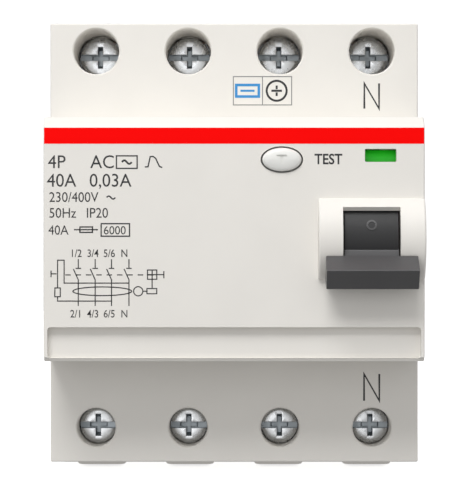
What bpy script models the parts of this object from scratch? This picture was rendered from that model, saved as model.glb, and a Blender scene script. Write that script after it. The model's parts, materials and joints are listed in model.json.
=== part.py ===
"""Four-pole residual current device for a 35 mm rail, built from its separate pieces.

Frame: +Z up, the front faces -Y, +X to the right. The origin is the middle of the rail seat.
All sizes below are millimetres; mesh data is scaled to metres as it is made.
"""
import math

import bpy
from mathutils import Matrix, Vector

MM = 0.001
GAP = 0.3                       # clearance between neighbouring pieces

# Housing
WIDTH = 70.0                    # four modules of 17.5
HALF = WIDTH / 2
MODULE = 17.5
POLES = [(-1.5 + i) * MODULE for i in range(4)]
TOP_Z, BOTTOM_Z = 41.2, -42.3
SEAM_Y = -28.0                  # rear base behind it, front cover before it
SHOULDER_Y = -44.0
FRONT_Y = -60.0
CAP_Z = 22.5                    # half of the 45 mm cap
WALL = 1.5
SIDE_IN = HALF - WALL
REAR_Y = 4.5                    # legs that straddle the rail
SEAT_WALL = 1.8
RAIL_HALF = 18.0
SEAT_HALF, RELIEF_Y = 15.2, -0.5   # the rail rests inside this height; shallow reliefs lie beyond it
CHAMBER_HALF = 8.0              # one terminal chamber
COLLAR = (4.8, 5.3, 2.0)        # half width, half depth, height below the base

# Terminals: one bank at each end; y values run from the screw head inwards
HEAD_T = 2.2
SHANK_R = 2.4
CLAMP_TRAVEL = 5.0
CAGE_WALL, CAGE_SIDE = 2.0, 1.0
CAGE_HALF_X, CAGE_HALF_Z = 4.6, 3.5
BAR_T, BAR_HALF = 2.0, 3.3
CLAMP_OPENING = 7.8
BANKS = {
    "line": {"z": 35.9, "head_y": -30.5, "head_r": 3.95, "well_r": 4.33, "sleeve_r": 5.1},
    "load": {"z": -35.7, "head_y": -37.5, "head_r": 3.5, "well_r": 3.675, "sleeve_r": 4.7},
}
for bank in BANKS.values():
    bank["under_y"] = bank["head_y"] + HEAD_T
    bank["bar_y"] = bank["under_y"] + CAGE_WALL + CLAMP_TRAVEL + 0.9
    bank["wire_y"] = bank["bar_y"] + BAR_T + GAP + CLAMP_OPENING / 2

# Toggle and its shroud
TOGGLE_Y = -54.0                # axis, at z = 0
SHROUD_R = 10.0
SHROUD = (15.4, HALF, 7.45)     # left, right, half height
SLOT = (19.85, 30.35, -6.3, 6.2)                # left, right, bottom, top at the outer edge
SLOT_CEILING = ((-61.35, 5.1), (-62.55, 6.2))   # (y, z) ends of the sloped ceiling
DRUM_R = 8.6
DRUM_X = (20.15, 30.05)
BAR_X = (16.7, 33.5)
BAR_BORE = SHROUD_R + 0.4
PIN_R = 1.4
LINK_HOLE_R = 4.6               # from the toggle axis to the link's pivot
SWING = 50.0

# Contact system
CARRIER_Y, CARRIER_Z = -24.0, 6.0
CARRIER_SWING = 0.4 * SWING
SHAFT_R = 3.0
CRANK_TIP = (CARRIER_Y - 6.3, CARRIER_Z + 9.7)  # where the link ends, just short of the crank
TOROID = (-16.3, -12.0, 14.0, 8.0, 4.0)     # y, z, outer radius, inner radius, half height

# Front details
BUTTON = (8.76, 14.56)          # x, z
BUTTON_HOLE = (7.8, 4.9)
WINDOW = (26.9, 15.34, 5.8, 2.4)
FLAG_AXIS, FLAG_R = (-50.0, 14.0), 7.2      # pivot (y, z) of the indicator lever and its reach
HOUSING_SCREWS = {"left": (-MODULE, -31.0, REAR_Y), "right": (MODULE, 31.0, 1.0)}   # x, z, rear face
CLIP = {"half": 8.5, "y": (1.2, 3.4), "z": (-44.6, -15.6), "window": (2.4, -37.3, -26.0)}
TRIP_POST, LATCH_POST = (9.0, 4.0), (15.0, -3.0)    # (x, z) of the lever posts
RELAY_AXIS = (-49.0, -9.0)                          # (y, z) of the relay plunger

COLOURS = {                     # base colour, metallic, roughness
    "housing": ((0.80, 0.79, 0.75), 0.0, 0.45),
    "toggle": ((0.045, 0.045, 0.048), 0.0, 0.40),
    "button": ((0.72, 0.72, 0.70), 0.0, 0.40),
    "flag": ((0.03, 0.58, 0.03), 0.0, 0.40),
    "clip": ((0.10, 0.10, 0.11), 0.0, 0.50),
    "frame": ((0.30, 0.31, 0.33), 0.0, 0.50),
    "steel": ((0.62, 0.62, 0.62), 1.0, 0.35),
    "copper": ((0.80, 0.42, 0.26), 1.0, 0.30),
    "silver": ((0.85, 0.84, 0.80), 1.0, 0.25),
    "wire": ((0.05, 0.12, 0.42), 0.0, 0.50),
    "core": ((0.12, 0.12, 0.13), 0.0, 0.60),
    "winding": ((0.55, 0.22, 0.08), 0.6, 0.40),
    "resistor": ((0.36, 0.52, 0.62), 0.0, 0.45),
}


def material(slot):
    """One Principled material for each piece that asks for it."""
    colour, metallic, roughness = COLOURS[slot]
    mat = bpy.data.materials.new(slot)
    mat.use_nodes = True
    shader = mat.node_tree.nodes["Principled BSDF"]
    shader.inputs["Base Color"].default_value = (*colour, 1.0)
    shader.inputs["Metallic"].default_value = metallic
    shader.inputs["Roughness"].default_value = roughness
    mat.diffuse_color = (*colour, 1.0)
    return mat


# ---------------------------------------------------------------- outlines
def rectangle(a0, a1, b0, b1):
    return [(a0, b0), (a1, b0), (a1, b1), (a0, b1)]


def arc(centre, radius, start, end, steps):
    """Points on a circle, degrees from the first axis towards the second."""
    angles = [math.radians(start + (end - start) * i / steps) for i in range(steps + 1)]
    return [(centre[0] + radius * math.cos(a), centre[1] + radius * math.sin(a)) for a in angles]


def circle(centre, radius, sides):
    return arc(centre, radius, 0, 360, sides)[:-1]


def ellipse(centre, half_a, half_b, sides=28):
    return [(centre[0] + half_a * a, centre[1] + half_b * b) for a, b in circle((0, 0), 1, sides)]


def rounded(centre, half_a, half_b, radius, steps=4):
    """Rectangle with round corners."""
    points = []
    for quarter, (sa, sb) in enumerate([(1, 1), (-1, 1), (-1, -1), (1, -1)]):
        corner = (centre[0] + sa * (half_a - radius), centre[1] + sb * (half_b - radius))
        points += arc(corner, radius, 90 * quarter, 90 * quarter + 90, steps)
    return points


# ---------------------------------------------------------------- solids
def place(axis, a, b, t):
    """Point with t along the axis; a and b are the other two in X, Y, Z order."""
    return {"X": (t, a, b), "Y": (a, t, b), "Z": (a, b, t)}[axis]


def mesh_object(name, verts, faces, slot=None):
    mesh = bpy.data.meshes.new(name)
    mesh.from_pydata([Vector(v) * MM for v in verts], [], faces)
    mesh.update()
    obj = bpy.data.objects.new(name, mesh)
    bpy.context.scene.collection.objects.link(obj)
    if slot:
        mesh.materials.append(material(slot))
    return obj


def loft(name, rings, slot=None):
    """Closed body through rings of equal length, capped at both ends, with faces pointing out."""
    count = len(rings[0])
    verts = [p for ring in rings for p in ring]
    faces = [list(range(count))[::-1], [len(verts) - count + i for i in range(count)]]
    for r in range(len(rings) - 1):
        for i in range(count):
            j = (i + 1) % count
            base = r * count
            faces.append([base + i, base + j, base + count + j, base + count + i])
    volume = 0.0
    for face in faces:
        first = Vector(verts[face[0]])
        for k in range(1, len(face) - 1):
            volume += first.dot(Vector(verts[face[k]]).cross(Vector(verts[face[k + 1]])))
    if volume < 0:
        faces = [face[::-1] for face in faces]
    return mesh_object(name, verts, faces, slot)


def prism(name, axis, outline, low, high, slot=None):
    rings = [[place(axis, a, b, t) for a, b in outline] for t in (low, high)]
    return loft(name, rings, slot)


def rod(name, axis, centre, radius, low, high, sides=16, slot=None):
    return prism(name, axis, circle(centre, radius, sides), low, high, slot)


def turned(name, axis, centre, profile, sides, slot):
    """Body of revolution: profile is a list of (position along the axis, radius)."""
    rings = [[place(axis, a, b, t) for a, b in circle(centre, r, sides)] for t, r in profile]
    return loft(name, rings, slot)


def box(name, x, y, z, slot=None):
    return prism(name, "Z", rectangle(x[0], x[1], y[0], y[1]), z[0], z[1], slot)


def combine(target, tool, operation):
    """Boolean with the tool kept as a hidden guide."""
    mod = target.modifiers.new(tool.name, "BOOLEAN")
    mod.operation = operation
    mod.solver = "EXACT"
    mod.object = tool
    tool.hide_render = True
    tool.display_type = "WIRE"
    tool.parent = target.parent


def cut(target, *tools):
    for tool in tools:
        combine(target, tool, "DIFFERENCE")


def weld(target, *tools):
    for tool in tools:
        combine(target, tool, "UNION")


def spread(name, axis, outlines, low, high):
    """Several prisms that don't touch, as one tool."""
    parts = [prism(name, axis, outline, low, high) for outline in outlines]
    verts, faces = [], []
    for part in parts:
        start = len(verts)
        verts += [v.co / MM for v in part.data.vertices]
        faces += [[start + i for i in p.vertices] for p in part.data.polygons]
        bpy.data.objects.remove(part)
    return mesh_object(name, verts, faces)


def tube(name, points, radius, slot, resolution=1):
    """Round bar along a line of points, with filled ends."""
    curve = bpy.data.curves.new(name, "CURVE")
    curve.dimensions = "3D"
    curve.bevel_depth = radius * MM
    curve.bevel_resolution = resolution
    curve.use_fill_caps = True
    spline = curve.splines.new("POLY")
    spline.points.add(len(points) - 1)
    for point, co in zip(spline.points, points):
        point.co = (*(Vector(co) * MM), 1.0)
    curve.materials.append(material(slot))
    obj = bpy.data.objects.new(name, curve)
    bpy.context.scene.collection.objects.link(obj)
    return obj


def coil(name, axis, centre, radius, wire, low, high, turns, slot="steel", steps=10):
    """Helical spring whose outer ends lie at low and high."""
    count = int(turns * steps)
    points = []
    for i in range(count + 1):
        angle = 2 * math.pi * i / steps
        along = low + wire + (high - low - 2 * wire) * i / count
        a = centre[0] + radius * math.cos(angle)
        b = centre[1] + radius * math.sin(angle)
        points.append(place(axis, a, b, along))
    return tube(name, points, wire, slot)


def pivot(obj, origin):
    """Moves an object's origin to its joint without moving its shape."""
    shift = Vector(origin) * MM
    obj.data.transform(Matrix.Translation(-shift))
    obj.location = shift


def smooth_path(stations, steps):
    """Catmull-Rom curve through the stations."""
    ends = [stations[0]] + stations + [stations[-1]]
    points = []
    for k in range(len(stations) - 1):
        p0, p1, p2, p3 = (Vector(ends[k + i]) for i in range(4))
        for i in range(steps):
            t = i / steps
            points.append(0.5 * (2 * p1 + (p2 - p0) * t + (2 * p0 - 5 * p1 + 4 * p2 - p3) * t ** 2
                                 + (3 * p1 - p0 - 3 * p2 + p3) * t ** 3))
    return points + [Vector(stations[-1])]


# ---------------------------------------------------------------- housing
def chamber_outline():
    """Inside of the rear base seen from the front: one hall with four chambers above and below."""
    hall_top, hall_bottom = 19.0, -24.0
    above, below = 39.8, -40.5
    points = [(-SIDE_IN, hall_bottom)]
    for x in POLES:
        points += [(x - CHAMBER_HALF, hall_bottom), (x - CHAMBER_HALF, below)]
        points += [(x + CHAMBER_HALF, below), (x + CHAMBER_HALF, hall_bottom)]
    points += [(SIDE_IN, hall_bottom), (SIDE_IN, hall_top)]
    for x in reversed(POLES):
        points += [(x + CHAMBER_HALF, hall_top), (x + CHAMBER_HALF, above)]
        points += [(x - CHAMBER_HALF, above), (x - CHAMBER_HALF, hall_top)]
    return points + [(-SIDE_IN, hall_top)]


def screw_spots(radius, sides):
    """Circles on the two housing screw axes."""
    return [circle((x, z), radius, sides) for x, z, _ in HOUSING_SCREWS.values()]


def rear_base():
    """Open tray with the rail recess, a fixed hook above, the clip tunnel below and the cable entries."""
    side = [(SEAM_Y, BOTTOM_Z), (2.2, BOTTOM_Z), (REAR_Y, BOTTOM_Z + 3), (REAR_Y, -RAIL_HALF),
            (RELIEF_Y, -RAIL_HALF), (RELIEF_Y, -SEAT_HALF), (0, -SEAT_HALF), (0, SEAT_HALF),
            (RELIEF_Y, SEAT_HALF), (RELIEF_Y, RAIL_HALF), (1.6, RAIL_HALF), (1.6, 16.0), (3.0, 16.0),
            (REAR_Y, 18.5), (REAR_Y, 24.0), (1.0, 27.5), (1.0, TOP_Z), (SEAM_Y, TOP_Z)]
    base = prism("rear_base", "X", side, -HALF, HALF, "housing")
    hollow = prism("cut_base_hollow", "Y", chamber_outline(), SEAM_Y - 1, -SEAT_WALL)
    cut(base, hollow)
    half_w, half_d, height = COLLAR
    wire_y = BANKS["load"]["wire_y"]
    collars = spread("join_collars", "Z", [rounded((x, wire_y), half_w, half_d, 1.6) for x in POLES],
                     BOTTOM_Z - height, BOTTOM_Z + 1)
    weld(base, collars)
    for name, (low, high) in {"line": (39.0, TOP_Z + 1), "load": (BOTTOM_Z - 4, -39.0)}.items():
        entry = [rounded((x, BANKS[name]["wire_y"]), 3.8, CLAMP_OPENING / 2, 0.9, 3) for x in POLES]
        cut(base, spread("cut_entry_" + name, "Z", entry, low, high))
    weld(base, spread("join_bosses", "Y", screw_spots(2.6, 16), SEAM_Y, -1.0))
    cut(base, spread("cut_screw_holes", "Y", screw_spots(1.35, 12), SEAM_Y - 1, REAR_Y + 1))
    for name, (x, z, rear) in HOUSING_SCREWS.items():
        cut(base, rod("cut_counterbore_" + name, "Y", (x, z), 2.7, rear - 2.2, REAR_Y + 1, 16))
    tunnel = box("cut_clip_tunnel", (-CLIP["half"] - GAP, CLIP["half"] + GAP), (0.9, 3.7),
                 (BOTTOM_Z - 1, -RAIL_HALF + 1))
    cut(base, tunnel)
    half, low, _ = CLIP["window"]
    weld(base, box("join_clip_stop", (-half + 0.4, half - 0.4), (0.5, 3.1), (low + GAP, low + 1.9)))
    return base


def shroud_outline():
    """Cheeks of the toggle shroud in (y, z), rooted in the front wall."""
    edge = math.degrees(math.asin(SHROUD[2] / SHROUD_R))
    bow = arc((TOGGLE_Y, 0), SHROUD_R, 180 - edge, 180 + edge, 20)
    return [(FRONT_Y + 1, SHROUD[2])] + bow + [(FRONT_Y + 1, -SHROUD[2])]


def front_cover():
    """Stepped cover: shoulders with screw wells, raised cap, shroud, label recess, button hole and window."""
    side = [(SEAM_Y - GAP, BOTTOM_Z), (SEAM_Y - GAP, TOP_Z), (SHOULDER_Y, TOP_Z), (SHOULDER_Y, CAP_Z),
            (-57.7, CAP_Z), (FRONT_Y, 20.55), (FRONT_Y, -21.9), (-59.0, -21.9), (-59.0, -CAP_Z),
            (SHOULDER_Y, -CAP_Z), (SHOULDER_Y, BOTTOM_Z)]
    cover = prism("front_cover", "X", side, -HALF, HALF, "housing")
    inside = [(SEAM_Y + 1, -40.8), (SEAM_Y + 1, 39.7), (-42.2, 39.7), (-42.2, 21.0), (-56.0, 21.0),
              (-58.2, 19.0), (-58.2, -14.6), (-56.8, -14.6), (-56.8, -21.0), (-42.2, -21.0), (-42.2, -40.8)]
    cut(cover, prism("cut_cover_hollow", "X", inside, -SIDE_IN, SIDE_IN))
    weld(cover, prism("join_shroud", "X", shroud_outline(), SHROUD[0], SHROUD[1]))
    ear = rectangle(TOGGLE_Y - 5, TOGGLE_Y + 2.6, -2.8, 2.8)
    weld(cover, prism("join_left_ear", "X", ear, 14.4, 16.6))
    weld(cover, prism("join_right_ear", "X", ear, 32.2, HALF - 0.5))
    for name, bank in BANKS.items():
        sleeve = [circle((x, bank["z"]), bank["sleeve_r"], 24) for x in POLES]
        well = [circle((x, bank["z"]), bank["well_r"], 24) for x in POLES]
        end = min(SEAM_Y - GAP, bank["under_y"] + 0.1)
        weld(cover, spread("join_sleeves_" + name, "Y", sleeve, SHOULDER_Y + 0.8, end))
        cut(cover, spread("cut_wells_" + name, "Y", well, SHOULDER_Y - 1, SEAM_Y + 1))
    weld(cover, spread("join_pillars", "Y", screw_spots(2.6, 16), SHOULDER_Y + 0.8, SEAM_Y - GAP))
    cut(cover, spread("cut_threads", "Y", screw_spots(1.25, 12), -38.0, SEAM_Y + 1))
    slot = [(-66, SLOT[2]), (-57, SLOT[2]), (-57, SLOT_CEILING[0][1]), *SLOT_CEILING, (-66, SLOT[3])]
    cut(cover, prism("cut_toggle_slot", "X", slot, SLOT[0], SLOT[1]))
    cut(cover, rod("cut_drum_bore", "X", (TOGGLE_Y, 0), DRUM_R + 0.4, SLOT[0], SLOT[1], 48))
    cut(cover, rod("cut_pin_bore", "X", (TOGGLE_Y, 0), PIN_R + 0.15, 13, 33.8, 16))
    hole = ellipse(BUTTON, BUTTON_HOLE[0] / 2, BUTTON_HOLE[1] / 2)
    cut(cover, prism("cut_button_hole", "Y", hole, -61, -57))
    x, z, w, h = WINDOW
    cut(cover, prism("cut_window", "Y", rounded((x, z), w / 2, h / 2, 0.5, 3), -61, -57))
    weld(cover, rod("join_flag_post", "X", FLAG_AXIS, 0.8, WINDOW[0] - 4.2, HALF - 1.0, 12))
    cut(cover, box("cut_label", (-34.3, 34.3), (-61, -58.6), (-21.9, -16.2)))
    return cover


def housing_screws():
    for name, (x, z, rear) in HOUSING_SCREWS.items():
        profile = [(-36.5, 0.7), (-35.8, 1.05), (rear - 2.0, 1.05), (rear - 2.0, 2.3), (rear - 0.6, 2.3),
                   (rear - 0.2, 1.9)]
        screw = turned("housing_screw_" + name, "Y", (x, z), profile, 16, "steel")
        cross = [(-1.5, -0.35), (-0.35, -0.35), (-0.35, -1.5), (0.35, -1.5), (0.35, -0.35), (1.5, -0.35),
                 (1.5, 0.35), (0.35, 0.35), (0.35, 1.5), (-0.35, 1.5), (-0.35, 0.35), (-1.5, 0.35)]
        outline = [(x + a, z + b) for a, b in cross]
        cut(screw, prism("cut_cross_" + name, "Y", outline, rear - 1.2, rear + 1))


def rail_clip():
    """Sliding hook in the rear tunnel with its spring in a window."""
    (y0, y1), (z0, z1), half = CLIP["y"], CLIP["z"], CLIP["half"]
    side = [(y0, z0), (y1, z0), (y1, z1 - 2.2), (y0 + 0.9, z1), (y0 + 0.1, z1), (y0 + 0.1, -17.8), (y0, -17.8)]
    clip = prism("din_clip", "X", side, -half, half, "clip")
    w, low, high = CLIP["window"]
    cut(clip, box("cut_clip_window", (-w, w), (0, 5), (low, high)))
    cut(clip, box("cut_clip_tool_slot", (-2.6, 2.6), (0, 5), (-43.6, -42.2)))
    pivot(clip, (0, y0, z1))
    coil("din_clip_spring", "Z", (0, (y0 + y1) / 2), 0.82, 0.2, low + 2.2, high - GAP, 9, steps=8)


# ---------------------------------------------------------------- terminals
def terminal(name, number, x, bank):
    """Captive screw, sliding clamp cage and current bar of one pole at one end."""
    z, bar_y = bank["z"], bank["bar_y"]
    tip = bar_y - GAP
    profile = [(bank["head_y"], bank["head_r"] - 0.4), (bank["head_y"] + 0.4, bank["head_r"]),
               (bank["under_y"], bank["head_r"]), (bank["under_y"], SHANK_R), (tip - 0.5, SHANK_R),
               (tip, SHANK_R - 0.5)]
    screw = turned(f"terminal_screw_{name}_{number}", "Y", (x, z), profile, 20, "steel")
    long, short, w = 5.0, 2.3, 0.65
    cross = [(-long, -w), (-w, -w), (-w, -short), (w, -short), (w, -w), (long, -w), (long, w), (w, w),
             (w, short), (-w, short), (-w, w), (-long, w)]
    outline = [(x + a, z + b) for a, b in cross]
    head = bank["head_y"]
    cut(screw, prism(f"cut_slot_{name}_{number}", "Y", outline, head - 1, head + 1.2))
    pivot(screw, (x, head, z))
    front = bar_y - 0.5 - CAGE_WALL
    rear = bank["wire_y"] + CLAMP_OPENING / 2
    cage = box(f"clamp_cage_{name}_{number}", (x - CAGE_HALF_X, x + CAGE_HALF_X), (front, rear + 1.5),
               (z - CAGE_HALF_Z, z + CAGE_HALF_Z), "steel")
    inner = CAGE_HALF_X - CAGE_SIDE
    cut(cage, box(f"cut_cage_{name}_{number}", (x - inner, x + inner), (front + CAGE_WALL, rear),
                  (z - 10, z + 10)))
    cut(cage, rod(f"cut_cage_thread_{name}_{number}", "Y", (x, z), SHANK_R + 0.2, front - 1,
                  front + CAGE_WALL + 0.5, 20))
    pivot(cage, (x, front, z))


def current_bars(number, x):
    """Line bar with its fixed contact, and load bar with the tail that takes the conductor."""
    y = BANKS["line"]["bar_y"]
    line = [(y, 39.2), (y, 26.3), (y - 1.2, 26.0), (y - 1.2, 21.6), (y, 21.3), (y, 20.2), (y + BAR_T, 20.2),
            (y + BAR_T, 39.2)]
    prism(f"line_bar_{number}", "X", line, x - BAR_HALF, x + BAR_HALF, "copper")
    y = BANKS["load"]["bar_y"]
    load = [(y, -39.0), (y, -25.0), (-18.0, -25.0), (-18.0, -26.6), (y + BAR_T, -26.6), (y + BAR_T, -39.0)]
    prism(f"load_bar_{number}", "X", load, x - BAR_HALF, x + BAR_HALF, "copper")


# ---------------------------------------------------------------- contact system
def contact_system():
    """Carrier shaft with a sprung contact for each pole, made closed and turned open by its parent."""
    hub = bpy.data.objects.new("carrier_axis", None)
    bpy.context.scene.collection.objects.link(hub)
    origin = Vector((0, CARRIER_Y, CARRIER_Z)) * MM
    hub.location = origin
    y, z = CARRIER_Y, CARRIER_Z
    pieces = []
    carrier = rod("contact_carrier", "X", (y, z), SHAFT_R, -31.5, 31.5, 20, "frame")
    foot = [(y - 5.0, z - 2.4), (y + 2.0, z - 2.4), (y + 2.0, z + 1.0), (y - 3.4, z + 3.2), (y - 3.4, z + 11.5),
            (y - 5.0, z + 11.5)]
    arm = [(y, z + 4.0), (y + 1.6, z + 4.0), (y + 1.6, z + 16.0), (y + 2.1, z + 16.0), (y + 2.1, z + 19.0),
           (y, z + 19.6)]
    crank = [(y - 2.0, z), (y + 2.0, z), (y + 1.4, z + 11.4), (y - 1.4, z + 11.4)]
    for number, x in enumerate(POLES, 1):
        pocket = prism(f"join_pocket_{number}", "X", foot, x - 3.0, x + 3.0)
        weld(carrier, pocket)
        contact = prism(f"moving_contact_{number}", "X", arm, x - 2.4, x + 2.4, "silver")
        spring = coil(f"contact_spring_{number}", "Y", (x, z + 8.6), 1.5, 0.25, y - 3.2, y - 0.2, 3, steps=8)
        pieces += [pocket, contact, spring]
    pieces.append(prism("join_crank", "X", crank, 17.6, 19.6))
    weld(carrier, pieces[-1])
    for piece in pieces + [carrier]:
        piece.data.transform(Matrix.Translation(-origin))
        piece.parent = hub
    hub.rotation_euler = (math.radians(CARRIER_SWING), 0, 0)


def transformer():
    """Ring core with a secondary winding over part of it and the four conductors through it."""
    y, z, outer, inner, half = TOROID
    core = rod("transformer_core", "Z", (0, y), outer, z - half, z + half, 32, "core")
    cut(core, rod("cut_core", "Z", (0, y), inner, z - half - 1, z + half + 1, 32))
    outline = arc((0, y), outer + 1.1, -35, 35, 10) + arc((0, y), inner - 1.1, 35, -35, 10)
    winding = prism("secondary_winding", "Z", outline, z - half - 1.1, z + half + 1.1, "winding")
    bore = arc((0, y), outer + GAP, -60, 60, 16) + arc((0, y), inner - GAP, 60, -60, 16)
    cut(winding, prism("cut_winding", "Z", bore, z - half - GAP, z + half + GAP))
    for number, x in enumerate(POLES, 1):
        lane = (number - 2.5) * 3.0
        route = [(x, -10.5, 5.0), (x * 0.8, -12.0, 1.0), (lane * 1.4, y, -4.5), (lane, y, -9.0),
                 (lane, y, -15.0), (lane * 1.4, y, -19.0), (x * 0.8, -18.5, -21.6), (x, -20.0, -23.2)]
        tube(f"primary_conductor_{number}", smooth_path(route, 3), 1.25, "wire", 1)


# ---------------------------------------------------------------- operating parts
def toggle():
    """Handle bar on a drum in the shroud slot, its pin, its spring and the link to the carrier."""
    centre = (TOGGLE_Y, 0)

    def polar(radius, angle):
        return arc(centre, radius, 180 + angle, 180 + angle, 1)[0]

    bar = arc(centre, BAR_BORE, 180 + 48.2, 180 + 17.06, 8) + [polar(15.03, 22.7), polar(14.73, 38.66)]
    handle = prism("toggle_handle", "X", bar, *BAR_X, "toggle")
    drum = [polar(DRUM_R, angle) for angle in range(40, 369, 8)]
    root = BAR_BORE + 0.4
    drum += [polar(DRUM_R, 13), polar(DRUM_R + 0.3, 16), polar(root, 20.5), polar(root, 35)]
    weld(handle, prism("join_drum", "X", drum, *DRUM_X))
    cut(handle, rod("cut_drum_pin", "X", centre, PIN_R + 0.15, 19, 32, 16))
    start = Vector(polar(LINK_HOLE_R, SWING / 2 - 90))
    cut(handle, rod("cut_drum_link", "X", start, 1.15, 19, 25, 12))
    pivot(handle, (25.1, TOGGLE_Y, 0))
    rod("toggle_pin", "X", centre, PIN_R, 14.6, 33.4, 16, "steel")
    coil("toggle_spring", "X", centre, 2.3, 0.3, 30.3, 31.95, 2, steps=12)
    end = Vector(CRANK_TIP)
    run = (end - start).normalized()
    side = Vector((-run.y, run.x)) * 1.0
    angle = math.degrees(math.atan2(run.y, run.x))
    outline = [end - side, end + side] + arc(start, 1.5, angle + 45, angle + 315, 10)
    link = prism("toggle_link", "X", outline, 18.3, 19.7, "steel")
    weld(link, rod("join_link_pin", "X", start, 0.9, 19.0, 24.0, 12))
    pivot(link, (19.0, *start))


def test_circuit():
    """Oval push button with its return spring, the strip it closes and the series resistor."""
    x, z = BUTTON

    def oval(shrink, y):
        half_w, half_h = BUTTON_HOLE[0] / 2 - GAP - shrink, BUTTON_HOLE[1] / 2 - GAP - shrink
        return [place("Y", a, b, y) for a, b in ellipse((x, z), half_w, half_h)]

    dome = [(0.0, -57.5), (0.0, -60.15), (0.2, -60.5), (0.75, -60.78), (1.6, -60.95)]
    button = loft("test_button", [oval(s, y) for s, y in dome], "button")
    weld(button, prism("join_button_flange", "Y", rounded((x, z), 4.5, 3.2, 1.5, 3), -57.85, -57.0))
    weld(button, rod("join_button_stem", "Y", (x, z), 1.1, -57.4, -53.5, 12))
    pivot(button, (x, -57.4, z))
    coil("test_button_spring", "Y", (x, z), 1.8, 0.25, -56.75, -51.8, 4, steps=10)
    strip = [(3.0, -51.5), (14.5, -51.5), (14.5, -51.0), (4.0, -51.0), (3.2, -49.4), (2.7, -49.6)]
    prism("test_contact_strip", "Z", strip, z - 1.8, z + 1.8, "copper")
    resistor = [(-7.0, 0.35), (-4.6, 0.35), (-4.6, 1.2), (-4.0, 1.4), (-3.4, 1.2), (0.4, 1.2),
                (1.0, 1.4), (1.6, 1.2), (1.6, 0.35), (2.4, 0.35)]
    turned("test_resistor", "X", (-49.3, z), resistor, 12, "resistor")


def indicator():
    """Flag lever on a post: a curved face behind the window, one half for open, the other for closed."""
    x, (y, z) = WINDOW[0], FLAG_AXIS
    face = arc((y, z), FLAG_R, 180 - 20, 180 + 21, 8) + arc((y, z), FLAG_R - 0.7, 180 + 21, 180 - 20, 8)
    flag = prism("indicator_flag", "X", face, x - 3.7, x + 3.7, "flag")
    web = arc((y, z), FLAG_R - 0.3, 180 - 14, 180 + 14, 4) + arc((y, z), 1.8, 180 + 60, 180 - 60 + 360, 8)
    weld(flag, prism("join_flag_web", "X", web, x - 3.7, x - 2.5))
    cut(flag, rod("cut_flag_pivot", "X", FLAG_AXIS, 1.0, x - 5, x + 5, 12))
    pivot(flag, (x, y, z))


def mechanism():
    """Frame plate with two pivot posts, the levers on them, and the trip relay with its plunger."""
    plate = [(5.0, -16.0), (17.0, -16.0), (17.0, 10.0), (15.0, 17.0), (5.0, 17.0)]
    frame = prism("mechanism_frame", "Y", plate, -47.6, -46.2, "frame")
    weld(frame, rod("join_trip_post", "Y", TRIP_POST, 1.0, -51.0, -47.0, 12))
    weld(frame, rod("join_latch_post", "Y", LATCH_POST, 1.0, -51.0, -47.0, 12))
    weld(frame, box("join_strip_rest", (11.5, 14.2), (-50.7, -47.0), (12.6, 16.4)))
    outline = [(7.8, -13.0), (10.2, -13.0), (10.2, 0.5), (11.0, 4.0), (9.8, 7.0), (8.2, 7.0),
               (7.0, 4.0), (7.8, 0.5)]
    trip = prism("trip_lever", "Y", outline, -50.0, -48.0, "frame")
    cut(trip, rod("cut_trip_pivot", "Y", TRIP_POST, 1.15, -52, -46, 12))
    pivot(trip, place("Y", *TRIP_POST, -49.0))
    outline = [(11.6, -3.6), (14.0, -5.0), (17.0, -5.0), (17.0, -1.0), (14.0, -1.0), (11.6, -2.0)]
    latch = prism("latch_lever", "Y", outline, -50.0, -48.0, "steel")
    cut(latch, rod("cut_latch_pivot", "Y", LATCH_POST, 1.15, -52, -46, 12))
    pivot(latch, place("Y", *LATCH_POST, -49.0))
    case = box("trip_relay_case", (-12.0, 3.4), (-55.0, -43.0), (-14.4, -1.0), "core")
    cut(case, rod("cut_relay_bore", "X", RELAY_AXIS, 1.5, -4.0, 5.0, 12))
    profile = [(-2.0, 1.2), (6.8, 1.2), (7.2, 0.8)]
    plunger = turned("trip_relay_plunger", "X", RELAY_AXIS, profile, 12, "silver")
    pivot(plunger, (0, *RELAY_AXIS))


def main():
    for obj in list(bpy.data.objects):
        bpy.data.objects.remove(obj)
    rear_base()
    front_cover()
    housing_screws()
    rail_clip()
    for number, x in enumerate(POLES, 1):
        for name, bank in BANKS.items():
            terminal(name, number, x, bank)
        current_bars(number, x)
    contact_system()
    transformer()
    toggle()
    test_circuit()
    indicator()
    mechanism()


main()
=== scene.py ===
"""Looks of a four-pole residual current device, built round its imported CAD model.

Frame: +Z up, the front faces -Y, +X to the right; origin in the middle of the rail seat.
Sizes below are millimetres and become metres as each mesh is made.
"""
import json
import math

import bpy
from mathutils import Matrix, Vector


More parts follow.
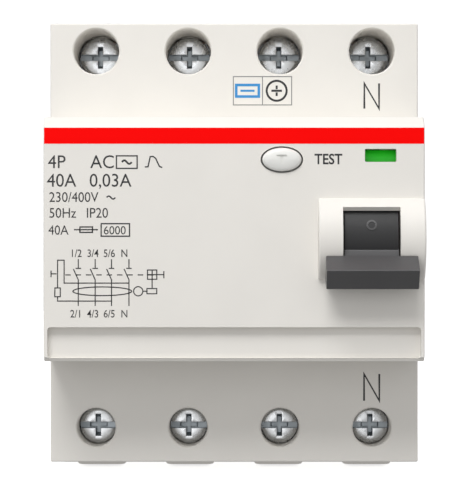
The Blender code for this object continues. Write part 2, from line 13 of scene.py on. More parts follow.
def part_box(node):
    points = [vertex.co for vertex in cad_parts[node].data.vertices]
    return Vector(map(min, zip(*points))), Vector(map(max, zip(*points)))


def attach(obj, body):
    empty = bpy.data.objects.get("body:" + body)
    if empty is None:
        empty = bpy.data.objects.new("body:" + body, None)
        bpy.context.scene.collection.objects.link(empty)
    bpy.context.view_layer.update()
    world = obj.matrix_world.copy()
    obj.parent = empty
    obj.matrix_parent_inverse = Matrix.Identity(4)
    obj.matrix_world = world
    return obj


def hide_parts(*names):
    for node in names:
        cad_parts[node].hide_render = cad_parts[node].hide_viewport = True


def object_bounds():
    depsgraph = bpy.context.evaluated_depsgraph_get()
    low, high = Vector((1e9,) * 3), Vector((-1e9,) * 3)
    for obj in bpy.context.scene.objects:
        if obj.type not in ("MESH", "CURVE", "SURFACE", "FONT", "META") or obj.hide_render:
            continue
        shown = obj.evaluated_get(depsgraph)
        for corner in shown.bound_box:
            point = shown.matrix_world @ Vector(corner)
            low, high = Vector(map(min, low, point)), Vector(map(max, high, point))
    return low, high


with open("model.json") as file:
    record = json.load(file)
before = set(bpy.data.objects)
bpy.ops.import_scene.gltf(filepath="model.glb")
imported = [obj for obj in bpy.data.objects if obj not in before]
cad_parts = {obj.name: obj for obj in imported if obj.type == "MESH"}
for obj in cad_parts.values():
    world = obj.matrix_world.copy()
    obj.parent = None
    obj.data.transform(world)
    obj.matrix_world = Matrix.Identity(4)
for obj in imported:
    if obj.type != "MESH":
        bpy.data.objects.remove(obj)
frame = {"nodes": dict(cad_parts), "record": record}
CAD_BOX = [list(corner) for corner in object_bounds()]

MM = 0.001
MODULE = 17.5
POLES = [(-1.5 + i) * MODULE for i in range(4)]
HALF = 2 * MODULE


def limits(node):
    """Lowest and highest corner of a CAD node in millimetres."""
    low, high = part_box(node)
    return [c / MM for c in low], [c / MM for c in high]


COVER_LOW, COVER_HIGH = limits("front_cover")
BASE_LOW, BASE_HIGH = limits("rear_base")
TOP_Z, BOTTOM_Z = COVER_HIGH[2], COVER_LOW[2]
SEAM_Y, REAR_Y = BASE_LOW[1], BASE_HIGH[1]
COVER_REAR = COVER_HIGH[1]
SHOULDER_Y, FRONT_Y = -44.0, -60.0
CAP_Z = 22.5
RAIL_HALF = 18.0
TOGGLE_Y = -54.0                # toggle axis, at z = 0
SHROUD_R = -COVER_LOW[1] + TOGGLE_Y
SHROUD_HALF = 7.45
SLOT_X = (19.85, 30.35)
DRUM_R = 8.6
DRUM_X = (20.15, 30.05)
PIN_BORE_R = 1.55
BUTTON = (8.76, 14.56)          # x, z
SIDE_IN = 33.5                  # inner face of the side walls
HOUSING_SCREWS = ((-MODULE, -31.0, REAR_Y), (MODULE, 31.0, 1.0))    # x, z, rear face
INK = 0.02                      # how far a print stands off its surface

BANKS = {
    "line": {"z": 35.9, "well_r": 4.33, "sleeve_r": 5.1, "head_r": 3.95},
    "load": {"z": -35.7, "well_r": 3.675, "sleeve_r": 4.7, "head_r": 3.5},
}
for name, bank in BANKS.items():
    low, high = limits(f"terminal_screw_{name}_1")
    bank["head_y"], bank["tip_y"] = low[1], high[1]
    low, high = limits(f"clamp_cage_{name}_1")
    bank["wire_y"] = (low[1] + 2.0 + high[1] - 1.5 + 2.8) / 2


# ---------------------------------------------------------------- materials
def new_material(name, colour, roughness, metallic=0.0):
    mat = bpy.data.materials.new(name)
    mat.use_nodes = True
    shader = mat.node_tree.nodes["Principled BSDF"]
    shader.inputs["Base Color"].default_value = (*colour, 1.0)
    shader.inputs["Metallic"].default_value = metallic
    shader.inputs["Roughness"].default_value = roughness
    return mat, mat.node_tree, shader


def noise(tree, size, detail=2.0, stretch=(1, 1, 1)):
    """Noise whose features are about `size` millimetres across, in the piece's own space."""
    coords = tree.nodes.new("ShaderNodeTexCoord")
    mapping = tree.nodes.new("ShaderNodeMapping")
    mapping.inputs["Scale"].default_value = stretch
    texture = tree.nodes.new("ShaderNodeTexNoise")
    texture.inputs["Scale"].default_value = 1.0 / (size * MM)
    texture.inputs["Detail"].default_value = detail
    tree.links.new(coords.outputs["Object"], mapping.inputs["Vector"])
    tree.links.new(mapping.outputs["Vector"], texture.inputs["Vector"])
    return texture.outputs["Fac"]


def span(tree, fac, low, high):
    """Maps 0.3-0.7 of a noise to low-high."""
    node = tree.nodes.new("ShaderNodeMapRange")
    node.inputs["From Min"].default_value = 0.3
    node.inputs["From Max"].default_value = 0.7
    node.inputs["To Min"].default_value = low
    node.inputs["To Max"].default_value = high
    tree.links.new(fac, node.inputs["Value"])
    return node.outputs["Result"]


def tint(tree, fac, colour, spread):
    """Colour that wanders a little to either side of `colour`."""
    mix = tree.nodes.new("ShaderNodeMix")
    mix.data_type = "RGBA"
    mix.inputs[6].default_value = (*[c * (1 - spread) for c in colour], 1)
    mix.inputs[7].default_value = (*[min(1.0, c * (1 + spread)) for c in colour], 1)
    tree.links.new(fac, mix.inputs["Factor"])
    return mix.outputs[2]


def bump(tree, shader, fac, height):
    node = tree.nodes.new("ShaderNodeBump")
    node.inputs["Distance"].default_value = height * MM
    tree.links.new(fac, node.inputs["Height"])
    tree.links.new(node.outputs["Normal"], shader.inputs["Normal"])


def plastic(name, colour, roughness=0.45, grain=0.12, height=0.006, spread=0.012):
    """Moulded plastic: fine spark-eroded grain and faint clouding."""
    mat, tree, shader = new_material(name, colour, roughness)
    cloud = span(tree, noise(tree, 9.0, 3.0), 0.0, 1.0)
    tree.links.new(tint(tree, cloud, colour, spread), shader.inputs["Base Color"])
    fine = noise(tree, grain, 3.0)
    tree.links.new(span(tree, fine, roughness - 0.05, roughness + 0.06), shader.inputs["Roughness"])
    bump(tree, shader, fine, height)
    return mat


def metal(name, colour, roughness=0.3, stretch=(1, 1, 6), height=0.004, spread=0.05):
    """Worked metal: fine lines along one direction, slightly uneven gloss."""
    mat, tree, shader = new_material(name, colour, roughness, 1.0)
    lines = noise(tree, 0.35, 4.0, stretch)
    patches = noise(tree, 1.6, 2.0)
    tree.links.new(tint(tree, span(tree, patches, 0.0, 1.0), colour, spread), shader.inputs["Base Color"])
    tree.links.new(span(tree, patches, roughness - 0.08, roughness + 0.08), shader.inputs["Roughness"])
    bump(tree, shader, lines, height)
    return mat


def two_tone(name, upper, lower, level):
    """Moulded flag whose colour changes at a height."""
    mat, tree, shader = new_material(name, upper, 0.35)
    coords = tree.nodes.new("ShaderNodeTexCoord")
    split = tree.nodes.new("ShaderNodeSeparateXYZ")
    above = tree.nodes.new("ShaderNodeMath")
    above.operation = "GREATER_THAN"
    above.inputs[1].default_value = level * MM
    mix = tree.nodes.new("ShaderNodeMix")
    mix.data_type = "RGBA"
    mix.inputs[6].default_value = (*lower, 1)
    mix.inputs[7].default_value = (*upper, 1)
    tree.links.new(coords.outputs["Object"], split.inputs["Vector"])
    tree.links.new(split.outputs["Z"], above.inputs[0])
    tree.links.new(above.outputs[0], mix.inputs["Factor"])
    tree.links.new(mix.outputs[2], shader.inputs["Base Color"])
    bump(tree, shader, noise(tree, 0.15, 2.0), 0.004)
    return mat


MATERIALS = {
    "housing": plastic("housing", (0.80, 0.775, 0.73), 0.5),
    "toggle": plastic("toggle", (0.068, 0.067, 0.069), 0.36, height=0.008, spread=0.06),
    # drum: the toggle's own plastic made darker, painted shade for the deep shadow inside the toggle slot
    "drum": plastic("drum", (0.017, 0.017, 0.018), 0.55, height=0.008, spread=0.06),
    "button": plastic("button", (0.80, 0.80, 0.77), 0.36),
    "flag": two_tone("flag", (0.022, 1.0, 0.025), (0.62, 0.012, 0.010), 14.0),
    "clip": plastic("clip", (0.085, 0.085, 0.090), 0.5, height=0.010, spread=0.05),
    "frame": plastic("frame", (0.26, 0.27, 0.29), 0.5),
    # darker steel for the faces inside the screw drives: painted shade in the slot and cross
    "recess": metal("recess", (0.42, 0.46, 0.49), 0.42),
    "steel": metal("steel", (0.88, 0.90, 0.92), 0.28),
    "copper": metal("copper", (0.85, 0.46, 0.30), 0.30),
    "silver": metal("silver", (0.86, 0.85, 0.82), 0.22),
    "wire": plastic("wire", (0.03, 0.09, 0.40), 0.5),
    "core": plastic("core", (0.055, 0.055, 0.06), 0.55),
    "winding": metal("winding", (0.50, 0.17, 0.06), 0.35, (8, 1, 8), 0.03),
    "resistor": plastic("resistor", (0.30, 0.46, 0.58), 0.4),
    "ink_black": plastic("ink_black", (0.022, 0.022, 0.024), 0.5, 0.08, 0.002),
    "ink_red": plastic("ink_red", (1.0, 0.0006, 0.0004), 0.6, 0.08, 0.002, 0.004),
    "ink_blue": plastic("ink_blue", (0.03, 0.26, 0.60), 0.5, 0.08, 0.002),
    "ink_grey": plastic("ink_grey", (0.22, 0.22, 0.215), 0.5, 0.08, 0.002),
}
red_shader = MATERIALS["ink_red"].node_tree.nodes["Principled BSDF"]
red_shader.inputs["Specular IOR Level"].default_value = 0.06


# ---------------------------------------------------------------- outlines and solids
def rectangle(a0, a1, b0, b1):
    return [(a0, b0), (a1, b0), (a1, b1), (a0, b1)]


def arc(centre, radius, start, end, steps):
    angles = [math.radians(start + (end - start) * i / steps) for i in range(steps + 1)]
    return [(centre[0] + radius * math.cos(a), centre[1] + radius * math.sin(a)) for a in angles]


def circle(centre, radius, sides=48):
    return arc(centre, radius, 0, 360, sides)[:-1]


def ellipse(centre, half_a, half_b, sides=56):
    return [(centre[0] + half_a * a, centre[1] + half_b * b) for a, b in circle((0, 0), 1, sides)]


def rounded(centre, half_a, half_b, radius, steps=6):
    points = []
    for quarter, (sa, sb) in enumerate([(1, 1), (-1, 1), (-1, -1), (1, -1)]):
        corner = (centre[0] + sa * (half_a - radius), centre[1] + sb * (half_b - radius))
        points += arc(corner, radius, 90 * quarter, 90 * quarter + 90, steps)
    return points


def place(axis, a, b, t):
    return {"X": (t, a, b), "Y": (a, t, b), "Z": (a, b, t)}[axis]


def mesh_object(name, verts, faces):
    mesh = bpy.data.meshes.new(name)
    mesh.from_pydata([Vector(v) * MM for v in verts], [], faces)
    mesh.update()
    obj = bpy.data.objects.new(name, mesh)
    bpy.context.scene.collection.objects.link(obj)
    return obj


def loft(name, rings):
    """Closed body through rings of equal length, faces pointing out."""
    count = len(rings[0])
    verts = [p for ring in rings for p in ring]
    faces = [list(range(count))[::-1], [len(verts) - count + i for i in range(count)]]
    for r in range(len(rings) - 1):
        for i in range(count):
            j = (i + 1) % count
            k = r * count
            faces.append([k + i, k + j, k + count + j, k + count + i])
    volume = 0.0
    for face in faces:
        first = Vector(verts[face[0]])
        for k in range(1, len(face) - 1):
            volume += first.dot(Vector(verts[face[k]]).cross(Vector(verts[face[k + 1]])))
    if volume < 0:
        faces = [face[::-1] for face in faces]
    return mesh_object(name, verts, faces)


def prism(name, axis, outline, low, high):
    return loft(name, [[place(axis, a, b, t) for a, b in outline] for t in (low, high)])


def turned(name, axis, centre, profile, sides=48):
    return loft(name, [[place(axis, a, b, t) for a, b in circle(centre, r, sides)] for t, r in profile])


def box(name, x, y, z):
    return prism(name, "Z", rectangle(x[0], x[1], y[0], y[1]), z[0], z[1])


def joined(name, parts):
    """One mesh from several; the parts are used up."""
    verts, faces = [], []
    for part in parts:
        start = len(verts)
        verts += [v.co / MM for v in part.data.vertices]
        faces += [[start + i for i in p.vertices] for p in part.data.polygons]
        bpy.data.objects.remove(part)
    return mesh_object(name, verts, faces)


def bevel(obj, width, segments=3, angle=32):
    mod = obj.modifiers.new("bevel", "BEVEL")
    mod.width = width * MM
    mod.segments = segments
    mod.limit_method = "ANGLE"
    mod.angle_limit = math.radians(angle)
    mod.use_clamp_overlap = True
    return obj


def bake_modifiers(obj):
    """Replaces the mesh with its evaluated one and drops the modifiers."""
    graph = bpy.context.evaluated_depsgraph_get()
    mesh = bpy.data.meshes.new_from_object(obj.evaluated_get(graph), depsgraph=graph)
    obj.modifiers.clear()
    obj.data = mesh
    return obj


def boolean(target, operation, *tools):
    for tool in tools:
        mod = target.modifiers.new(tool.name, "BOOLEAN")
        mod.operation = operation
        mod.solver = "EXACT"
        mod.object = tool
    bake_modifiers(target)
    for tool in tools:
        bpy.data.objects.remove(tool)
    return target


def cut(target, *tools):
    return boolean(target, "DIFFERENCE", *tools)


def weld(target, *tools):
    return boolean(target, "UNION", *tools)


def shade(obj, angle=30):
    obj.data.shade_smooth()
    obj.data.set_sharp_from_angle(angle=math.radians(angle))
    mod = obj.modifiers.new("normals", "WEIGHTED_NORMAL")
    mod.keep_sharp = True
    return obj


def finish(obj, slot, body, *nodes, material=None, angle=30):
    """Shading, material, body and the CAD nodes that the piece stands for."""
    shade(obj, angle)
    obj.data.materials.clear()
    obj.data.materials.append(MATERIALS[material or slot])
    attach(obj, body)
    if nodes:
        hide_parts(*nodes)
    return obj


# ---------------------------------------------------------------- housing
def well_profile(bank):
    """Well cutter from the mouth inwards: lead-in, then shallow rings left by the mould core."""
    r = bank["well_r"]
    profile = [(SHOULDER_Y - 1, r + 0.25), (SHOULDER_Y, r + 0.25), (SHOULDER_Y + 0.3, r)]
    y = SHOULDER_Y + 1.6
    while y < bank["head_y"] - 1.2:
        profile += [(y, r), (y + 0.12, r + 0.16), (y + 0.5, r + 0.16), (y + 0.62, r)]
        y += 1.5
    return profile + [(COVER_REAR + 1, r)]


def side_marks(shell, spots, knockout=None):
    """Shallow mould dimples and a thin knock-out outline on both side walls; spots are (y, z)."""
    for side in (-1, 1):
        skin, out = side * (HALF - 0.22), side * (HALF + 1)
        for spot in spots:
            cut(shell, prism("dimple", "X", circle(spot, 2.1, 48), skin, out))
        if knockout:
            centre, half_y, half_z = knockout
            cut(shell, prism("groove", "X", rounded(centre, half_y, half_z, 1.2), skin, out))
            island = rounded(centre, half_y - 0.35, half_z - 0.35, 0.9)
            weld(shell, prism("island", "X", island, side * (HALF - 0.5), side * HALF))


def front_cover():
    side = [(COVER_REAR, BOTTOM_Z), (COVER_REAR, TOP_Z), (SHOULDER_Y, TOP_Z), (SHOULDER_Y, CAP_Z),
            (-57.7, CAP_Z), (FRONT_Y, 20.55), (FRONT_Y, -21.9), (-59.0, -21.9), (-59.0, -CAP_Z),
            (SHOULDER_Y, -CAP_Z), (SHOULDER_Y, BOTTOM_Z)]
    cover = bake_modifiers(bevel(prism("cover_shell", "X", side, -HALF, HALF), 0.28, 3))
    inside = [(SEAM_Y + 1, -40.8), (SEAM_Y + 1, 39.7), (-42.2, 39.7), (-42.2, 21.0), (-56.0, 21.0),
              (-58.2, 19.0), (-58.2, -14.6), (-56.8, -14.6), (-56.8, -21.0), (-42.2, -21.0), (-42.2, -40.8)]
    cut(cover, prism("hollow", "X", inside, -SIDE_IN, SIDE_IN))
    edge = math.degrees(math.asin(SHROUD_HALF / SHROUD_R))
    bow = arc((TOGGLE_Y, 0), SHROUD_R, 180 - edge, 180 + edge, 40)
    bow = [(FRONT_Y + 1, SHROUD_HALF)] + bow + [(FRONT_Y + 1, -SHROUD_HALF)]
    weld(cover, bake_modifiers(bevel(prism("shroud", "X", bow, 15.4, HALF), 0.55, 4)))
    ear = rectangle(-59.0, -51.4, -2.8, 2.8)
    weld(cover, prism("left_ear", "X", ear, 14.4, 16.6))
    weld(cover, prism("right_ear", "X", ear, 32.2, 34.5))
    for bank in BANKS.values():
        end = min(COVER_REAR, bank["head_y"] + 2.3)
        for x in POLES:
            sleeve = circle((x, bank["z"]), bank["sleeve_r"])
            weld(cover, prism("sleeve", "Y", sleeve, SHOULDER_Y + 0.8, end))
        for x in POLES:
            cut(cover, turned("well", "Y", (x, bank["z"]), well_profile(bank), 64))
    for x, z, _ in HOUSING_SCREWS:
        weld(cover, prism("pillar", "Y", circle((x, z), 2.6, 32), SHOULDER_Y + 0.8, COVER_REAR))
        cut(cover, prism("thread_hole", "Y", circle((x, z), 1.25, 24), -38.0, SEAM_Y + 1))
    slot = [(-66, -6.3), (-57, -6.3), (-57, 5.1), (-61.35, 5.1), (-62.55, 6.2), (-66, 6.2)]
    cut(cover, prism("toggle_slot", "X", slot, *SLOT_X))
    cut(cover, prism("drum_bore", "X", circle((TOGGLE_Y, 0), DRUM_R + 0.4, 96), *SLOT_X))
    cut(cover, prism("pin_bore", "X", circle((TOGGLE_Y, 0), PIN_BORE_R, 32), 13, 33.8))
    cut(cover, prism("button_hole", "Y", ellipse(BUTTON, 3.9, 2.45), -61, -57))
    cut(cover, prism("window", "Y", rounded((26.9, 15.34), 2.9, 1.2, 0.25, 4), -61, -57))
    weld(cover, prism("flag_post", "X", circle((-50.0, 14.0), 0.8, 24), 22.7, HALF - 1.0))
    cut(cover, prism("label", "Y", rounded((0, -19.05), 34.3, 2.85, 0.6), -61, -58.6))
    side_marks(cover, [(-36.5, 33.0), (-36.5, -34.0)])
    bevel(cover, 0.09, 2, 40)
    finish(bake_modifiers(cover), "housing", "housing", "front_cover")


def rear_base():
    side = [(SEAM_Y, BOTTOM_Z), (2.2, BOTTOM_Z), (REAR_Y, BOTTOM_Z + 3), (REAR_Y, -RAIL_HALF),
            (-0.5, -RAIL_HALF), (-0.5, -15.2), (0, -15.2), (0, 15.2), (-0.5, 15.2), (-0.5, RAIL_HALF),
            (1.6, RAIL_HALF), (1.6, 16.0), (3.0, 16.0), (REAR_Y, 18.5), (REAR_Y, 24.0),
            (1.0, 27.5), (1.0, TOP_Z), (SEAM_Y, TOP_Z)]
    base = bake_modifiers(bevel(prism("base_shell", "X", side, -HALF, HALF), 0.28, 3))
    comb = [(-SIDE_IN, -24.0)]
    for x in POLES:
        comb += [(x - 8, -24.0), (x - 8, -40.5), (x + 8, -40.5), (x + 8, -24.0)]
    comb += [(SIDE_IN, -24.0), (SIDE_IN, 19.0)]
    for x in reversed(POLES):
        comb += [(x + 8, 19.0), (x + 8, 39.8), (x - 8, 39.8), (x - 8, 19.0)]
    comb += [(-SIDE_IN, 19.0)]
    cut(base, prism("hollow", "Y", comb, SEAM_Y - 1, -1.8))
    upper_y, lower_y = BANKS["line"]["wire_y"], BANKS["load"]["wire_y"]
    for x in POLES:
        collar = prism("collar", "Z", rounded((x, lower_y), 4.8, 5.3, 1.6), BOTTOM_Z - 2, BOTTOM_Z + 1)
        weld(base, bake_modifiers(bevel(collar, 0.5, 3)))
        cut(base, prism("entry", "Z", rounded((x, lower_y), 3.8, 3.9, 0.9), BOTTOM_Z - 4, -39.0))
        cut(base, prism("entry", "Z", rounded((x, upper_y), 3.8, 3.9, 0.9), 39.0, TOP_Z + 1))
    for x, z, rear in HOUSING_SCREWS:
        weld(base, prism("boss", "Y", circle((x, z), 2.6, 32), SEAM_Y, -1.0))
        cut(base, prism("screw_hole", "Y", circle((x, z), 1.35, 24), SEAM_Y - 1, REAR_Y + 1))
        cut(base, prism("counterbore", "Y", circle((x, z), 2.7, 48), rear - 2.2, REAR_Y + 1))
    cut(base, box("tunnel", (-8.8, 8.8), (0.9, 3.7), (BOTTOM_Z - 1, -RAIL_HALF + 1)))
    weld(base, box("clip_stop", (-2.0, 2.0), (0.5, 3.1), (-37.0, -35.4)))
    side_marks(base, [(-8.5, 33.0), (-8.5, -34.0)], ((-17.0, 0.0), 6.0, 9.0))
    bevel(base, 0.09, 2, 40)
    finish(bake_modifiers(base), "housing", "housing", "rear_base")


# ---------------------------------------------------------------- prints
def ribbon(points, width, y, closed=False):
    """Thin flat stroke on a plane facing -Y, mitred at its corners."""
    count = len(points)
    verts, faces = [], []
    for i, (x, z) in enumerate(points):
        before = points[i - 1] if closed or i else points[i]
        after = points[(i + 1) % count] if closed or i < count - 1 else points[i]
        d1 = Vector((x - before[0], z - before[1]))
        d2 = Vector((after[0] - x, after[1] - z))
        d1 = d1.normalized() if d1.length > 0 else d2.normalized()
        d2 = d2.normalized() if d2.length > 0 else d1
        normal = Vector((-d1.y - d2.y, d1.x + d2.x)).normalized()
        reach = width / 2 / max(0.35, normal.dot(Vector((-d1.y, d1.x))))
        for side in (1, -1):
            for depth in (y - INK, y + INK / 2):
                verts.append((x + side * reach * normal.x, depth, z + side * reach * normal.y))
    for i in range(count if closed else count - 1):
        a, b = 4 * i, 4 * ((i + 1) % count)
        faces += [[a, a + 2, b + 2, b], [a + 1, b + 1, b + 3, a + 3], [a, b, b + 1, a + 1],
                  [a + 2, a + 3, b + 3, b + 2]]
    if not closed:
        last = 4 * (count - 1)
        faces += [[0, 1, 3, 2], [last, last + 2, last + 3, last + 1]]
    return mesh_object("stroke", verts, faces)


def sine_mark(x, z, step, swing, width, y):
    """One period of a wave in ten strokes."""
    wave = [(x + step * i, z + swing * math.sin(2 * math.pi * i / 10)) for i in range(11)]
    return ribbon(wave, width, y)


def lettering(words, x, z, height, y, squeeze=1.0, weight=0.0):
    """Upright words whose lower left corner is at x, z."""
    curve = bpy.data.curves.new("letters", "FONT")
    curve.body = words
    curve.size = height * 1.37
    curve.resolution_u = 4
    curve.extrude = 0.75 * INK
    curve.offset = weight
    text = bpy.data.objects.new("letters", curve)
    bpy.context.scene.collection.objects.link(text)
    bake = bpy.context.evaluated_depsgraph_get()
    mesh = bpy.data.meshes.new_from_object(text.evaluated_get(bake), depsgraph=bake)
    bpy.data.objects.remove(text)
    turn = Matrix.Translation((x, y - INK / 4, z)) @ Matrix.Rotation(math.pi / 2, 4, "X")
    mesh.transform(turn @ Matrix.Diagonal((squeeze, 1, 1, 1)))
    mesh.transform(Matrix.Scale(MM, 4))
    obj = bpy.data.objects.new("letters", mesh)
    bpy.context.scene.collection.objects.link(obj)
    return obj


def print_piece(name, parts, material):
    piece = joined(name, parts)
    finish(piece, "housing", "housing", material=material)


def frame_box(x0, x1, z0, z1, width, y):
    return ribbon(rectangle(x0, x1, z0, z1), width, y, closed=True)


def front_prints():
    """Generic ratings, symbols and wiring diagram on the front face."""
    y = FRONT_Y
    pen = 0.24
    parts = [lettering("4P", -34.2, 13.0, 2.5, y, 0.95), lettering("AC", -26.4, 13.0, 2.5, y, 0.95),
             frame_box(-21.6, -17.8, 12.95, 15.25, pen, y)]
    parts.append(sine_mark(-20.6, 14.1, 0.18, 0.33, 0.34, y))
    parts.append(ribbon([(-16.4, 13.2), (-15.8, 13.25), (-15.4, 15.1), (-14.9, 15.15), (-14.4, 14.8),
                         (-14.0, 13.9), (-13.7, 13.3), (-13.2, 13.1)], pen, y))
    parts += [lettering("40A", -34.4, 9.6, 2.5, y, 0.95), lettering("0,03A", -26.6, 9.6, 2.5, y, 0.95)]
    parts += [lettering("230/400V", -34.0, 6.8, 1.9, y, 0.9)]
    parts.append(sine_mark(-23.4, 7.6, 0.16, 0.28, 0.26, y))
    parts += [lettering("50Hz", -34.0, 3.9, 1.9, y, 0.9), lettering("IP20", -27.2, 3.9, 1.9, y, 0.9)]
    parts += [lettering("40A", -34.1, 0.8, 1.8, y, 0.9), frame_box(-28.3, -26.0, 1.2, 2.2, pen, y),
              ribbon([(-29.4, 1.7), (-25.0, 1.7)], 0.22, y), frame_box(-24.4, -19.2, 0.5, 2.8, pen, y),
              lettering("6000", -24.0, 0.85, 1.6, y, 0.95)]
    parts += wiring_diagram(y)
    print_piece("front_marks", parts, "ink_black")
    print_piece("test_word", [lettering("TEST", 14.75, 13.75, 1.95, y, 0.88, 0.05)], "ink_black")


def wiring_diagram(y):
    """Four switched conductors through a ring, with the test loop, relay and mechanism."""
    pen = 0.2
    lines = (-28.6, -25.5, -22.5, -19.3)
    parts = []
    for x, label in zip(lines, ("1/2", "3/4", "5/6", "N")):
        parts.append(lettering(label, x - 1.5, -3.3, 1.45, y, 0.85, 0.01))
        parts += [ribbon([(x, -3.7), (x, -5.4)], pen, y), ribbon([(x - 0.5, -5.4), (x + 0.5, -5.4)], pen, y),
                  ribbon([(x - 0.9, -5.5), (x, -7.5), (x, -12.3)], pen, y)]
    for x, label in zip(lines, ("2/1", "4/3", "6/5", "N")):
        parts.append(lettering(label, x - 1.5, -14.4, 1.45, y, 0.85, 0.01))
    for i in range(9):
        parts.append(ribbon([(-31.0 + 1.9 * i, -6.6), (-30.0 + 1.9 * i, -6.6)], pen, y))
    parts += [frame_box(-15.9, -14.2, -7.4, -5.7, pen, y),
              ribbon([(-15.9, -6.55), (-12.9, -6.55)], pen, y),
              ribbon([(-15.05, -5.7), (-15.05, -9.0)], pen, y),
              ribbon([(-12.9, -5.9), (-12.9, -7.2)], pen, y)]
    ring = ellipse((-24.2, -9.6), 5.4, 0.8, 40)
    parts += [ribbon(ring, pen, y, closed=True),
              ribbon(circle((-17.6, -9.6), 0.85, 20), pen, y, closed=True),
              ribbon([(-16.7, -9.6), (-16.0, -9.6)], pen, y), frame_box(-16.0, -14.2, -10.05, -9.1, pen, y)]
    loop = [(-19.3, -8.1), (-31.2, -8.1), (-31.2, -5.4), (-31.2, -3.9), (-32.4, -3.9), (-32.4, -9.0)]
    parts += [ribbon(loop, pen, y),
              frame_box(-32.9, -31.9, -10.6, -9.0, pen, y),
              ribbon([(-32.4, -10.6), (-32.4, -11.4), (-22.5, -11.4)], pen, y),
              ribbon([(-33.6, -5.8), (-33.6, -7.0)], pen, y), ribbon([(-33.6, -6.4), (-32.6, -6.4)], pen, y)]
    return parts


def shoulder_prints():
    y = SHOULDER_Y
    for name, x, low, width, height in (("top", 24.8, 25.0, 2.8, 4.8), ("bottom", 24.75, -30.65, 2.9, 5.1)):
        letter = [(x, low), (x, low + height), (x + width, low), (x + width, low + height)]
        print_piece("neutral_mark_" + name, [ribbon(letter, 0.36, y)], "ink_black")
    print_piece("mark_frame", [frame_box(-0.15, 10.95, 25.7, 31.1, 0.18, y),
                               ribbon([(5.4, 25.8), (5.4, 31.0)], 0.18, y)], "ink_grey")
    print_piece("mark_left", [frame_box(0.4, 4.7, 27.3, 29.5, 0.5, y),
                              ribbon([(1.2, 28.4), (3.9, 28.4)], 0.4, y)], "ink_blue")
    print_piece("mark_right", [ribbon(circle((8.1, 28.4), 1.9, 40), 0.4, y, closed=True),
                               ribbon([(7.1, 28.4), (9.1, 28.4)], 0.4, y),
                               ribbon([(8.1, 28.7), (8.1, 29.4)], 0.4, y),
                               ribbon([(8.1, 27.4), (8.1, 28.1)], 0.4, y)], "ink_black")


def red_band():
    outline = rectangle(-HALF + 0.12, HALF - 0.12, 17.47, 20.42)
    band = prism("red_band", "Y", outline, FRONT_Y - 0.025, FRONT_Y + 0.05)
    finish(band, "housing", "housing", material="ink_red")


# ---------------------------------------------------------------- terminals
def screw(name, number, x, bank):
    """Combination-drive screw: crowned head, slot and cross-shaped drive cut, threaded shank; faces inside
    the drive get a darker metal as painted shade.
    """
    z, r, y = bank["z"], bank["head_r"], bank["head_y"]
    under = y + 2.2
    profile = [(y + 0.02, 0.01), (y + 0.03, r * 0.5), (y + 0.07, r * 0.8), (y + 0.16, r - 0.3),
               (y + 0.36, r - 0.06), (y + 0.6, r), (under - 0.15, r), (under, r - 0.15), (under, 2.0)]
    t = under + 0.3
    while t < bank["tip_y"] - 0.9:
        profile += [(t, 1.98), (t + 0.32, 2.4), (t + 0.42, 2.4), (t + 0.72, 1.98)]
        t += 0.8
    profile += [(bank["tip_y"] - 0.5, 2.3), (bank["tip_y"], 1.9), (bank["tip_y"], 0.01)]
    body = turned(f"screw_{name}_{number}", "Y", (x, z), profile, 48)
    slot = prism("slot", "Y", rectangle(x - 5, x + 5, z - 0.62, z + 0.62), y - 1, y + 1.5)
    rings = []
    for depth, size, w in ((y - 0.2, 2.2, 0.52), (y + 2.1, 1.5, 0.36)):
        cross = []
        for turn in range(4):
            for a, b in ((size, -w), (size, w), (w, w)):
                for _ in range(turn):
                    a, b = -b, a
                cross.append((x + a, depth, z + b))
        rings.append(cross)
    cut(body, slot, loft("cross", rings))
    bevel(body, 0.05, 2, 35)
    finish(bake_modifiers(body), "steel", f"screw_{name}_{number}", f"terminal_screw_{name}_{number}")
    # second slot: darker metal on the faces inside the slot and cross, painted shade of the drive
    body.data.materials.append(MATERIALS["recess"])
    for face in body.data.polygons:
        spot = face.center / MM
        if y + 0.3 < spot.y < under and math.hypot(spot.x - x, spot.z - z) < r - 0.25:
            face.material_index = 1


# ---------------------------------------------------------------- operating parts
def polar(radius, angle):
    """Point round the toggle axis, degrees below the forward direction."""
    return arc((TOGGLE_Y, 0), radius, 180 + angle, 180 + angle, 1)[0]


def toggle():
    bar = arc((TOGGLE_Y, 0), SHROUD_R + 0.4, 228.2, 197.06, 20) + [polar(15.03, 22.7), polar(14.73, 38.66)]
    handle = bake_modifiers(bevel(prism("toggle_grip", "X", bar, 16.7, 33.5), 0.4, 4, 25))
    stem = [polar(8.3, 11), polar(DRUM_R + 0.3, 16), polar(10.8, 20.5), polar(10.8, 35), polar(8.3, 40)]
    weld(handle, prism("stem", "X", stem, *DRUM_X))
    finish(handle, "toggle", "toggle", "toggle_handle")
    # the drum is its own piece so it can wear the darker drum material, painted shade of the slot on the
    # toggle plastic
    drum = prism("toggle_drum", "X", circle((TOGGLE_Y, 0), DRUM_R, 90), *DRUM_X)
    cut(drum, prism("pin_bore", "X", circle((TOGGLE_Y, 0), PIN_BORE_R, 32), 19, 32))
    cut(drum, prism("link_bore", "X", circle(polar(4.6, -65), 1.15, 24), 19, 25))
    bevel(drum, 0.12, 2, 35)
    finish(bake_modifiers(drum), "toggle", "toggle", material="drum")
    toggle_mark("toggle_off_mark", -17, circle((0, 0), 0.95, 40))


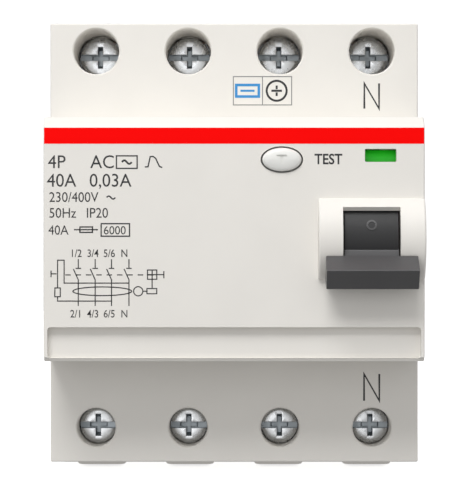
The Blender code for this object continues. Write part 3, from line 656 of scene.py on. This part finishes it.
def toggle_mark(name, angle, outline):
    """Raised line mark on the drum, bent to its surface; the angle is measured as in polar()."""
    verts, faces = [], []
    count = len(outline)
    for a, b in outline:
        for scale in (1.0, 0.68):
            for radius in (DRUM_R - 0.1, DRUM_R + 0.12):
                y, z = polar(radius, angle - math.degrees(b * scale / DRUM_R))
                verts.append((25.1 + a * scale, y, z))
    for i in range(count):
        k, n = 4 * i, 4 * ((i + 1) % count)
        faces += [[k, k + 1, n + 1, n], [k + 1, k + 3, n + 3, n + 1], [k + 3, k + 2, n + 2, n + 3],
                  [k + 2, k, n, n + 2]]
    finish(mesh_object(name, verts, faces), "toggle", "toggle")


def test_button():
    x, z = BUTTON

    def oval(shrink, y):
        return [place("Y", a, b, y) for a, b in ellipse((x, z), 3.6 - shrink, 2.15 - shrink)]

    dome = [(0.0, -57.5), (0.0, -60.15), (0.05, -60.35), (0.17, -60.52), (0.4, -60.66), (0.75, -60.78),
            (1.2, -60.88), (1.7, -60.94), (2.1, -60.95)]
    button = loft("test_button_cap", [oval(s, y) for s, y in dome])
    weld(button, prism("flange", "Y", rounded((x, z), 4.5, 3.2, 1.5), -57.85, -57.0))
    weld(button, prism("stem", "Y", circle((x, z), 1.1, 24), -57.4, -53.5))
    letter = [(-0.8, 0.95), (-0.8, 0.6), (-0.28, 0.6), (-0.12, -0.95), (0.12, -0.95), (0.28, 0.6),
              (0.8, 0.6), (0.8, 0.95)]
    cut(button, prism("letter", "Y", [(x + 1.15 * a, z + 0.9 * b) for a, b in letter], -61.5, -60.6))
    finish(button, "button", "test_button", "test_button", angle=24)


# ---------------------------------------------------------------- carried-over CAD nodes
def dress_cad_nodes():
    """Each carried-over CAD node gets its slot's material and soft shading; the listed kinds, springs aside,
    also get fine edges.
    """
    slots = {entry["node"]: entry["material_slot"] for entry in frame["record"]["subparts"]}
    edges = {"clamp_cage": 0.25, "line_bar": 0.2, "load_bar": 0.2, "din_clip": 0.25, "mechanism_frame": 0.2,
             "trip_relay_case": 0.5, "latch_lever": 0.15, "trip_lever": 0.15, "toggle_link": 0.15,
             "indicator_flag": 0.1, "housing_screw": 0.08, "transformer_core": 0.5}
    for node, obj in frame["nodes"].items():
        obj.data.materials.clear()
        obj.data.materials.append(MATERIALS[slots[node]])
        obj.data.shade_smooth()
        obj.data.set_sharp_from_angle(angle=math.radians(35))
        for start, width in edges.items():
            if node.startswith(start) and "spring" not in node:
                bevel(obj, width, 2, 40)


# ---------------------------------------------------------------- stage, light and camera
def stage():
    """Pale floor, and a white world that shows full white but lights the object softly."""
    floor_z = CAD_BOX[0][2] - 0.0002
    bpy.ops.mesh.primitive_plane_add(size=3.0, location=(0, 0, floor_z))
    floor = bpy.context.object
    floor.name = "floor"
    mat, _, shader = new_material("floor", (0.9, 0.9, 0.9), 0.9)
    shader.inputs["Emission Color"].default_value = (1, 1, 1, 1)
    shader.inputs["Emission Strength"].default_value = 0.72
    floor.data.materials.append(mat)
    floor.visible_diffuse = False
    floor.visible_glossy = False
    world = bpy.data.worlds.new("studio")
    bpy.context.scene.world = world
    world.use_nodes = True
    tree = world.node_tree
    back = tree.nodes["Background"]
    back.inputs["Color"].default_value = (1, 1, 1, 1)
    coords = tree.nodes.new("ShaderNodeTexCoord")
    split = tree.nodes.new("ShaderNodeSeparateXYZ")
    height = tree.nodes.new("ShaderNodeMapRange")
    height.inputs["From Min"].default_value = -0.6
    height.inputs["From Max"].default_value = 0.8
    height.inputs["To Min"].default_value = 0.44
    height.inputs["To Max"].default_value = 0.56
    path = tree.nodes.new("ShaderNodeLightPath")
    strength = tree.nodes.new("ShaderNodeMix")
    strength.inputs["B"].default_value = 1.05
    tree.links.new(coords.outputs["Generated"], split.inputs["Vector"])
    tree.links.new(split.outputs["Z"], height.inputs["Value"])
    tree.links.new(height.outputs["Result"], strength.inputs["A"])
    tree.links.new(path.outputs["Is Camera Ray"], strength.inputs["Factor"])
    tree.links.new(strength.outputs["Result"], back.inputs["Strength"])


def area_light(name, place_m, target_m, size, power):
    light = bpy.data.lights.new(name, "AREA")
    light.shape = "RECTANGLE"
    light.size, light.size_y = size
    light.energy = power
    obj = bpy.data.objects.new(name, light)
    bpy.context.scene.collection.objects.link(obj)
    obj.location = place_m
    obj.rotation_euler = (Vector(target_m) - Vector(place_m)).to_track_quat("-Z", "Y").to_euler()


def lights():
    area_light("key_top", (-0.13, -0.48, 0.58), (0, -0.04, 0), (0.40, 0.32), 3.7)
    area_light("front_fill", (-0.25, -0.9, 0.10), (0, -0.05, 0), (0.6, 0.6), 0.9)
    area_light("top_soft", (0.0, 0.0, 0.7), (0, -0.03, 0), (0.6, 0.5), 0.3)


def camera():
    """Level camera in front of the cap, a little under its middle, as the object is seen."""
    data = bpy.data.cameras.new("camera")
    obj = bpy.data.objects.new("camera", data)
    bpy.context.scene.collection.objects.link(obj)
    obj.location = (0, -0.480, -0.0046)
    obj.rotation_euler = (math.pi / 2, 0, 0)
    data.lens = 168.5
    data.sensor_width = 36
    data.shift_x = -0.0054
    data.shift_y = 0.0399
    bpy.context.scene.camera = obj


camera()
lights()
stage()
bpy.context.scene.view_settings.view_transform = "Standard"
front_cover()
rear_base()
red_band()
front_prints()
shoulder_prints()
for number, x in enumerate(POLES, 1):
    for name, bank in BANKS.items():
        screw(name, number, x, bank)
toggle()
test_button()
dress_cad_nodes()
